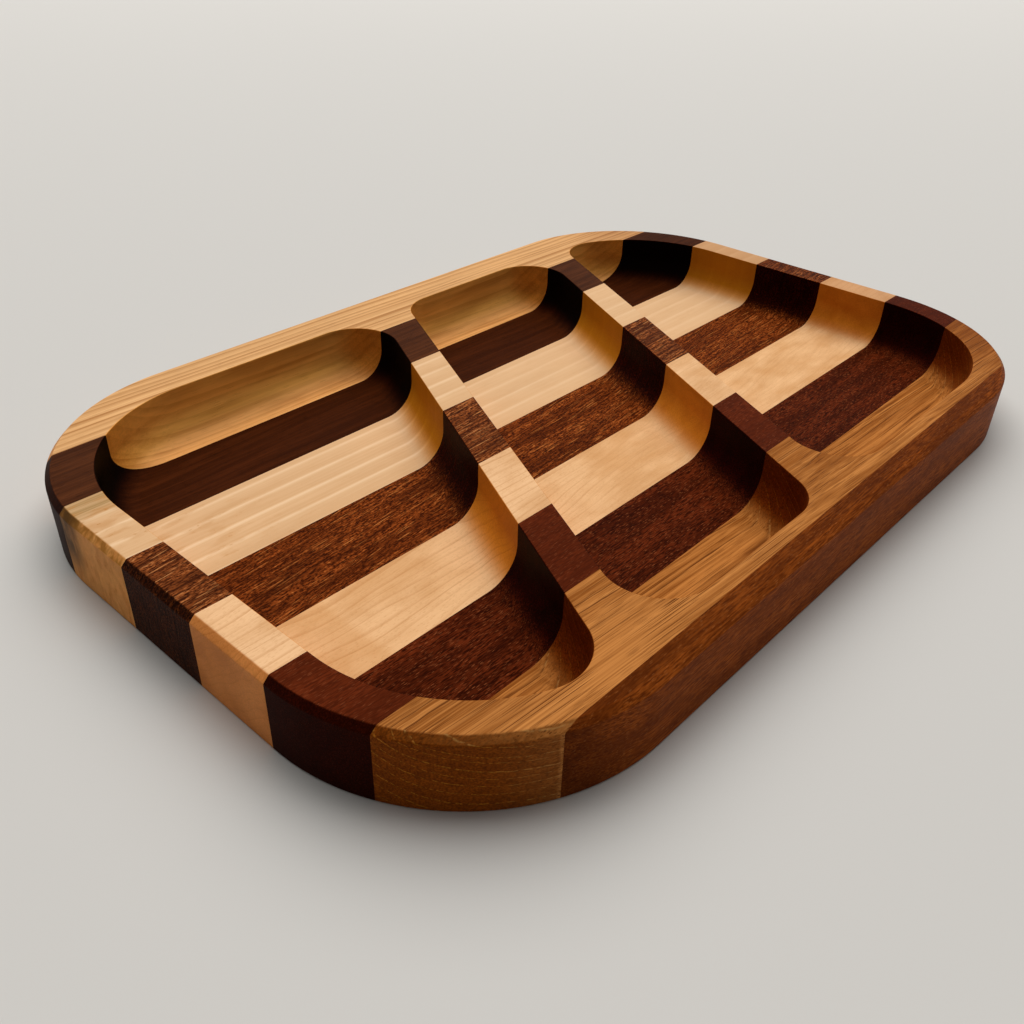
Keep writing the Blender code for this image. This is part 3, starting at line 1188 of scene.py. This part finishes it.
def sapele_wood():
    """Red-brown, mottled, with long broken pale lines."""
    material, shader, place = new_wood("oiled sapele", SAPELE)
    rings = use(growth_rings, Place=rippled(place, *SAPELE["ripple"]), **SAPELE["rings"])
    ridge = rings["Summer"] * spots(place, *SAPELE["line gaps"])
    valley = 1.0 - ridge * between(stored(CUT_NAME), *SAPELE["inside"])
    ribbons = spots(place, *SAPELE["ribbons"])
    threads = noise(place, SAPELE["threads"]) * SAPELE["thread part"]
    figure = threads + noise(place, SAPELE["mottle"]) * (1.0 - SAPELE["thread part"])
    ground = rise(figure, *SAPELE["figure range"])
    ground = ground * between(ribbons, *SAPELE["ribbon tones"]) * valley
    colour = blend(ground, SAPELE["dark"], SAPELE["middle"])
    glint = rise(figure, between(ribbons, *SAPELE["glint start"]), SAPELE["glint full"])
    colour = blend(glint * valley, colour, SAPELE["light"])
    lines = use(pores, Place=place, **SAPELE["pale lines"])
    broken = between(spots(place, *SAPELE["breaks"]), *SAPELE["break tones"])
    glow = lines["Pore"] * broken * between(lines["Tone"], *SAPELE["glow tones"])
    colour = blend(glow, colour, SAPELE["light"])
    oil_and_shade(shader, place, colour, ground + glow, SAPELE)
    return material


dress("sapele_plank", sapele_wood())

# %% [markdown]
# ## Maple
# The pinkish cream plank was sawn slantwise through the rings, so they meet the floor at a low
# angle and wander across it in slow curves. Each is a thin brown line, with pale, even wood
# between. One band across the plank, near the left end, is more orange, and the lines dip
# where they cross it, as they do where the trunk was dented. Towards the right the lines fade,
# and soft orange blotches take their place.

# %% Numbers of the maple
MAPLE = {
    "board": {"Shift": (14.0, 0.0, 0.0), "Slant": -0.05, "Drift": 4.0, "Drift Length": 60.0},
    "rings": {"Pith": (0.0, 20.0, 52.0), "Ring Width": 1.75, "Unevenness": 0.35, "Summer Share": 0.34},
    "fibres": {"Length": 10.0, "Width": 0.45},
    "flecks": {"Length": 1.3, "Width": 0.32, "Size": 0.42, "Share": 0.7},
    "light": (0.90, 0.545, 0.285),
    "dark": (0.70, 0.375, 0.165),
    "figure": ((17.0, 10.0, 9.0), 0.36, 0.70),
    "streak depth": 0.35,
    "ground strength": 0.7,
    "band": (0.66, 0.320, 0.115),
    "band stretch": (-121.0, -105.5, -102.0),
    "band strength": 0.40,
    "dip reach": 15.0,
    "dip depth": 1.1,
    "right stretch": (-60.0, 20.0),
    "line": (0.50, 0.205, 0.060),
    "line tones": (0.15, 0.48),
    "level tones": (0.45, 1.0),
    "right lines": (1.0, 0.45),
    "blotches": ((16.0, 6.0, 8.0), 0.46, 0.66),
    "right blotches": (0.0, 0.40),
    "fleck strength": 0.20,
    "relief": 0.3,
    # Painted shade: the end, wall and floor tints darken sawn ends, pocket walls and floors.
    "end grain and painted shade": (0.80, 0.48, 0.225),
    "dots": 0.05,
    "painted wall shading": (0.95, 0.85, 0.27),
    "painted floor shading": (0.97, 0.94, 0.88),
    "sheen": (1.0, 0.85, 0.7),
    "reflection": 0.06,
    "roughness": (0.40, 0.52),
    "patches": 0.16,
    "worn edges and painted highlight": 0.08,
}

# %% Maple


def maple_wood():
    """Pinkish cream with thin brown growth lines."""
    material, shader, place = new_wood("oiled maple", MAPLE)
    x = split(in_millimetres())[0]
    _, band_middle, _ = MAPLE["band stretch"]
    away = calculate("ABSOLUTE", x - band_middle)
    dip = rise(away, MAPLE["dip reach"], 0.0) * MAPLE["dip depth"]
    rings = use(growth_rings, Place=place + join(0.0, dip, 0.0), **MAPLE["rings"])
    streak = use(fibre_streaks, Place=place, **MAPLE["fibres"])["Streak"]
    fleck = use(pores, Place=place, **MAPLE["flecks"])["Pore"]
    figure = spots(place, *MAPLE["figure"])
    dark = between(streak, figure, figure + MAPLE["streak depth"])
    colour = blend(dark * MAPLE["ground strength"], MAPLE["light"], MAPLE["dark"])
    band = hill(x, *MAPLE["band stretch"]) * MAPLE["band strength"]
    colour = blend(band, colour, MAPLE["band"])
    rightward = rise(x, *MAPLE["right stretch"])
    blotch = spots(place, *MAPLE["blotches"]) * between(rightward, *MAPLE["right blotches"])
    colour = blend(blotch, colour, MAPLE["band"])
    line = rings["Summer"] * between(rings["Tone"], *MAPLE["line tones"])
    line = line * between(facing("Z"), *MAPLE["level tones"])
    line = line * between(rightward, *MAPLE["right lines"])
    colour = blend(line, colour, MAPLE["line"])
    colour = blend(fleck * MAPLE["fleck strength"], colour, MAPLE["line"])
    oil_and_shade(shader, place, colour, 1.0 - fleck * MAPLE["relief"], MAPLE)
    return material


dress("maple_plank", maple_wood())

# %% [markdown]
# ## Mahogany
# The dark red plank looks even from afar. Close up it has very fine pale pores along the grain
# and soft light and dark streaks, which the sandpaper has calmed on the rim. The thin band along
# the front edge is cut from the same kind of wood, turned on its side and a little browner, so
# both use one function. The band's front face is lighter, partly from its side grain and partly
# as painted light.

# %% Numbers of the mahogany
MAHOGANY = {
    "board": {"Shift": (3.0, 0.0, 0.0), "Slant": 0.01, "Drift": 1.2, "Drift Length": 40.0},
    "light": (0.158, 0.0262, 0.0066),
    "dark": (0.030, 0.0040, 0.0011),
    "grain": ((2.4, 0.27, 0.27), 0.36, 0.62),
    "pore": (0.40, 0.115, 0.042),
    "pore strength": 0.72,
    "calm rim": 0.62,
    "side grain and painted light": 0.0,
    # Painted shade: the end, wall and floor tints darken sawn ends, pocket walls and floors.
    "end grain and painted shade": (0.24, 0.15, 0.11),
    "dots": 0.30,
    "painted wall shading": (0.47, 0.110, 0.045),
    "painted floor shading": (0.74, 0.70, 0.62),
    "sheen": (1.0, 0.45, 0.25),
    "reflection": 0.02,
    "roughness": (0.45, 0.58),
    "patches": 0.40,
    "worn edges and painted highlight": 0.3,
}
EDGE_BAND = {
    "board": {"Shift": (41.0, 7.0, 23.0), "Slant": 0.0, "Drift": 1.2, "Drift Length": 40.0},
    "light": (0.205, 0.0470, 0.0060),
    "dark": (0.075, 0.0140, 0.0017),
    "grain": ((4.0, 0.32, 0.32), 0.30, 0.70),
    "pore": (0.34, 0.110, 0.026),
    "pore strength": 0.40,
    "calm rim": 0.0,
    # Lighter front face: partly side grain, partly painted light.
    "side grain and painted light": 0.95,
    # Painted shade: the end tint darkens the sawn ends; the wall and floor tints leave it.
    "end grain and painted shade": (0.20, 0.15, 0.10),
    "dots": 0.25,
    "painted wall shading": (1.0, 1.0, 1.0),
    "painted floor shading": (1.0, 1.0, 1.0),
    "sheen": (1.0, 0.5, 0.3),
    "reflection": 0.02,
    "roughness": (0.42, 0.55),
    "patches": 0.50,
    "worn edges and painted highlight": 0.25,
}
MAHOGANY_PORES = {"Length": 1.9, "Width": 0.28, "Size": 0.38, "Share": 0.7}
MAHOGANY_BANDS = ((38.0, 3.6, 5.0), 0.32, 0.66)
MAHOGANY_BAND_TONES = (0.38, 1.15)
MAHOGANY_RIM_GROUND = 0.42
MAHOGANY_PORE_TONES = (0.1, 1.0)

# %% Mahogany


def mahogany_wood(name, wood):
    """Dark red with a fine, dense grain and fine pale pores."""
    material, shader, place = new_wood(name, wood)
    dashes = use(pores, Place=place, **MAHOGANY_PORES)
    calm = (1.0 - stored(CUT_NAME)) * wood["calm rim"]
    ground = spots(place, *wood["grain"])
    ground = ground * between(spots(place, *MAHOGANY_BANDS), *MAHOGANY_BAND_TONES)
    ground = between(calm, ground, MAHOGANY_RIM_GROUND)
    colour = blend(ground, wood["dark"], wood["light"])
    bright = dashes["Pore"] * between(dashes["Tone"], *MAHOGANY_PORE_TONES)
    bright = bright * wood["pore strength"] * (1.0 - calm)
    colour = blend(bright, colour, wood["pore"])
    # Faces looking along Y are made lighter: partly side grain, partly painted light.
    colour = colour * (facing("Y") * wood["side grain and painted light"] + 1.0)
    oil_and_shade(shader, place, colour, 1.0 - dashes["Pore"], wood)
    return material


dress("mahogany_plank", mahogany_wood("oiled mahogany", MAHOGANY))
dress("mahogany_edge_band", mahogany_wood("oiled mahogany band", EDGE_BAND))

# %% [markdown]
# ## Oak
# The front plank shows its rings best. Spring wood in oak is full of wide pores, which are long
# dark dashes on the face. On the sawn end the same pores are holes, and pale dust from sanding
# fills them, so there each year starts with a thin, broken, bright line. The pith lies some
# way above the front edge. Along the front the rings therefore lie almost flat in the face,
# where a line would spread into a smear, so the lines fade there. Right of the middle the rim
# has more dark veins.

# %% Numbers of the oak
OAK = {
    "board": {"Shift": (0.0, 0.0, 0.0), "Slant": 0.045, "Drift": 1.5, "Drift Length": 70.0},
    "rings": {"Pith": (0.0, -88.0, 44.0), "Ring Width": 2.1, "Unevenness": 0.6, "Summer Share": 0.9},
    "fibres": {"Length": 40.0, "Width": 0.34},
    "long pores": {"Length": 34.0, "Width": 0.38, "Size": 0.42, "Share": 0.62},
    "fine pores": {"Length": 7.0, "Width": 0.26, "Size": 0.38, "Share": 0.6},
    "light": (0.60, 0.235, 0.059),
    "dark": (0.27, 0.082, 0.0140),
    "ripple": ((9.0, 1.6, 1.6), 0.55),
    "upright rings": (-80.0, -70.0),
    "year tones": (0.15, 0.50),
    "upright tones": (0.40, 1.0),
    "broad bands": ((48.0, 1.6, 1.6), 0.42, 0.62),
    "band strength": 0.42,
    "streak depth": 0.5,
    "end calm": (1.0, 0.5),
    "right stretch": (-40.0, 30.0),
    "veins": ((30.0, 0.8, 0.8), 0.38, 0.62),
    "vein tones": (0.0, 0.58),
    "pore": (0.125, 0.033, 0.0058),
    "spring": (0.40, 0.70),
    "spring tones": (0.75, 1.0),
    "pore tones": (0.40, 1.0),
    "seam width": (0.0, 0.06, 0.24),
    "seam gaps": ((26.0, 0.9, 0.9), 0.38, 0.58),
    "seam tones": (0.20, 0.95),
    "fine pore depth": 0.40,
    "open on ends": (1.0, 0.4),
    "dust": (0.95, 0.56, 0.20),
    "dust width": (0.0, 0.05, 0.15),
    "dust gaps": ((6.0, 0.7, 0.7), 0.40, 0.56),
    # Painted shade: the end, wall and floor tints darken sawn ends, pocket walls and floors.
    "end grain and painted shade": (0.40, 0.235, 0.065),
    "dots": 0.32,
    "painted wall shading": (0.56, 0.36, 0.20),
    "painted floor shading": (0.95, 0.90, 0.80),
    "sheen": (1.0, 0.65, 0.4),
    "reflection": 0.03,
    "roughness": (0.45, 0.60),
    "patches": 0.25,
    "worn edges and painted highlight": 0.15,
}

# %% Pores of the oak


def oak_pores(place, rings, end, upright):
    """How open the wood is: long pores of the spring wood, seams of pores, and fine pores."""
    long_pores = use(pores, Place=place, **OAK["long pores"])
    fine_pores = use(pores, Place=place, **OAK["fine pores"])
    spring = between(1.0 - rise(rings["Year"], *OAK["spring"]), *OAK["spring tones"])
    deep = long_pores["Pore"] * between(long_pores["Tone"], *OAK["pore tones"]) * spring
    seam_gaps = between(spots(place, *OAK["seam gaps"]), *OAK["seam tones"])
    seam = hill(rings["Year"], *OAK["seam width"]) * seam_gaps * upright
    deep = calculate("MAXIMUM", deep, seam)
    opened = calculate("MAXIMUM", deep, fine_pores["Pore"] * OAK["fine pore depth"])
    return opened * between(end, *OAK["open on ends"])


# %% Oak


def oak_wood():
    """Light brown with long dark pores in the spring wood."""
    material, shader, place = new_wood("oiled oak", OAK)
    rings = use(growth_rings, Place=rippled(place, *OAK["ripple"]), **OAK["rings"])
    streak = use(fibre_streaks, Place=place, **OAK["fibres"])["Streak"]
    end = rise(facing("X"), *END_FACING)
    x, y, _ = split(place)
    upright = calculate("MAXIMUM", rise(y, *OAK["upright rings"]), end)
    summer = rings["Summer"] * between(rings["Tone"], *OAK["year tones"])
    summer = summer * between(upright, *OAK["upright tones"])
    summer = summer + spots(place, *OAK["broad bands"]) * OAK["band strength"]
    dark = between(streak, summer, summer + OAK["streak depth"]) * between(end, *OAK["end calm"])
    colour = blend(dark, OAK["light"], OAK["dark"])
    rightward = rise(x, *OAK["right stretch"]) * (1.0 - stored(CUT_NAME))
    veins = rightward * between(spots(place, *OAK["veins"]), *OAK["vein tones"])
    colour = blend(veins, colour, OAK["dark"])
    opened = oak_pores(place, rings, end, upright)
    colour = blend(opened, colour, OAK["pore"])
    dust = hill(rings["Year"], *OAK["dust width"]) * spots(place, *OAK["dust gaps"])
    colour = blend(dust * end, colour, OAK["dust"])
    oil_and_shade(shader, place, colour, 1.0 - opened, OAK)
    return material


dress("oak_plank", oak_wood())

# %% [markdown]
# ## Table
# The tray stands on a pale table. It could be modelled with its edges, but none is in the
# picture, so one flat square is enough, many times wider than the tray.

# %% Table
FLOOR_REACH = 3.0
FLOOR_COLOUR = (0.630, 0.606, 0.567)
FLOOR_ROUGHNESS = 0.6

floor_mesh = bpy.data.meshes.new("table")
corners = [(-FLOOR_REACH, -FLOOR_REACH, 0), (FLOOR_REACH, -FLOOR_REACH, 0),
           (FLOOR_REACH, FLOOR_REACH, 0), (-FLOOR_REACH, FLOOR_REACH, 0)]
floor_mesh.from_pydata(corners, [], [(0, 1, 2, 3)])
table = bpy.data.objects.new("table", floor_mesh)
bpy.context.scene.collection.objects.link(table)
table_material = bpy.data.materials.new("pale table")
table_material.use_nodes = True
table_shader = table_material.node_tree.nodes["Principled BSDF"]
feed(table_shader.inputs["Base Color"], FLOOR_COLOUR)
feed(table_shader.inputs["Roughness"], FLOOR_ROUGHNESS)
floor_mesh.materials.append(table_material)
print("table reaches", FLOOR_REACH, "m to each side of the tray's middle")

# %% [markdown]
# ## Light
# The real tray stands by a wall of windows. Such light comes from one side and is so wide
# that its shadows have no edge, which one very large lamp, far up behind the tray, gives as
# well: the sides towards the camera fall into shade. The lamp isn't seen in reflections,
# since a bright square in the satin oil would give it away. A faint sky fills the shadows,
# and only what the camera and reflections see of it is the pale backdrop.

# %% Lamp
LAMP_PLACE = Vector((1.65, 1.60, 3.80))
LAMP_SIZE = 5.1
LAMP_POWER = 275.0

lamp_data = bpy.data.lights.new("soft lamp", "AREA")
lamp_data.size = LAMP_SIZE
lamp_data.energy = LAMP_POWER
lamp = bpy.data.objects.new("soft lamp", lamp_data)
bpy.context.scene.collection.objects.link(lamp)
lamp.location = LAMP_PLACE
lamp.visible_glossy = False
lamp.rotation_euler = (-LAMP_PLACE).to_track_quat("-Z", "Y").to_euler()
print("lamp is", round(LAMP_PLACE.length, 2), "m from the tray's middle")

# %% Sky and backdrop
SKY_STRENGTH = 0.16
SKY_COLOUR = (1.0, 1.0, 1.0)
BACKDROP_COLOUR = (0.60, 0.59, 0.57)

world = bpy.data.worlds.new("room")
bpy.context.scene.world = world
world.use_nodes = True
bench["tree"] = world.node_tree
sky = world.node_tree.nodes["Background"]
feed(sky.inputs["Color"], SKY_COLOUR)
feed(sky.inputs["Strength"], SKY_STRENGTH)
backdrop = add("Background")
feed(backdrop.inputs["Color"], BACKDROP_COLOUR)
rays = add("LightPath").outputs
mirrored = calculate("MAXIMUM", Wire(rays["Is Glossy Ray"]), Wire(rays["Is Transmission Ray"]))
seen = calculate("MAXIMUM", Wire(rays["Is Camera Ray"]), mirrored)
choose = add("MixShader")
feed(choose.inputs[0], seen)
feed(choose.inputs[1], Wire(sky.outputs[0]))
feed(choose.inputs[2], Wire(backdrop.outputs[0]))
feed(world.node_tree.nodes["World Output"].inputs["Surface"], Wire(choose.outputs[0]))
bpy.context.scene.view_settings.view_transform = "Standard"
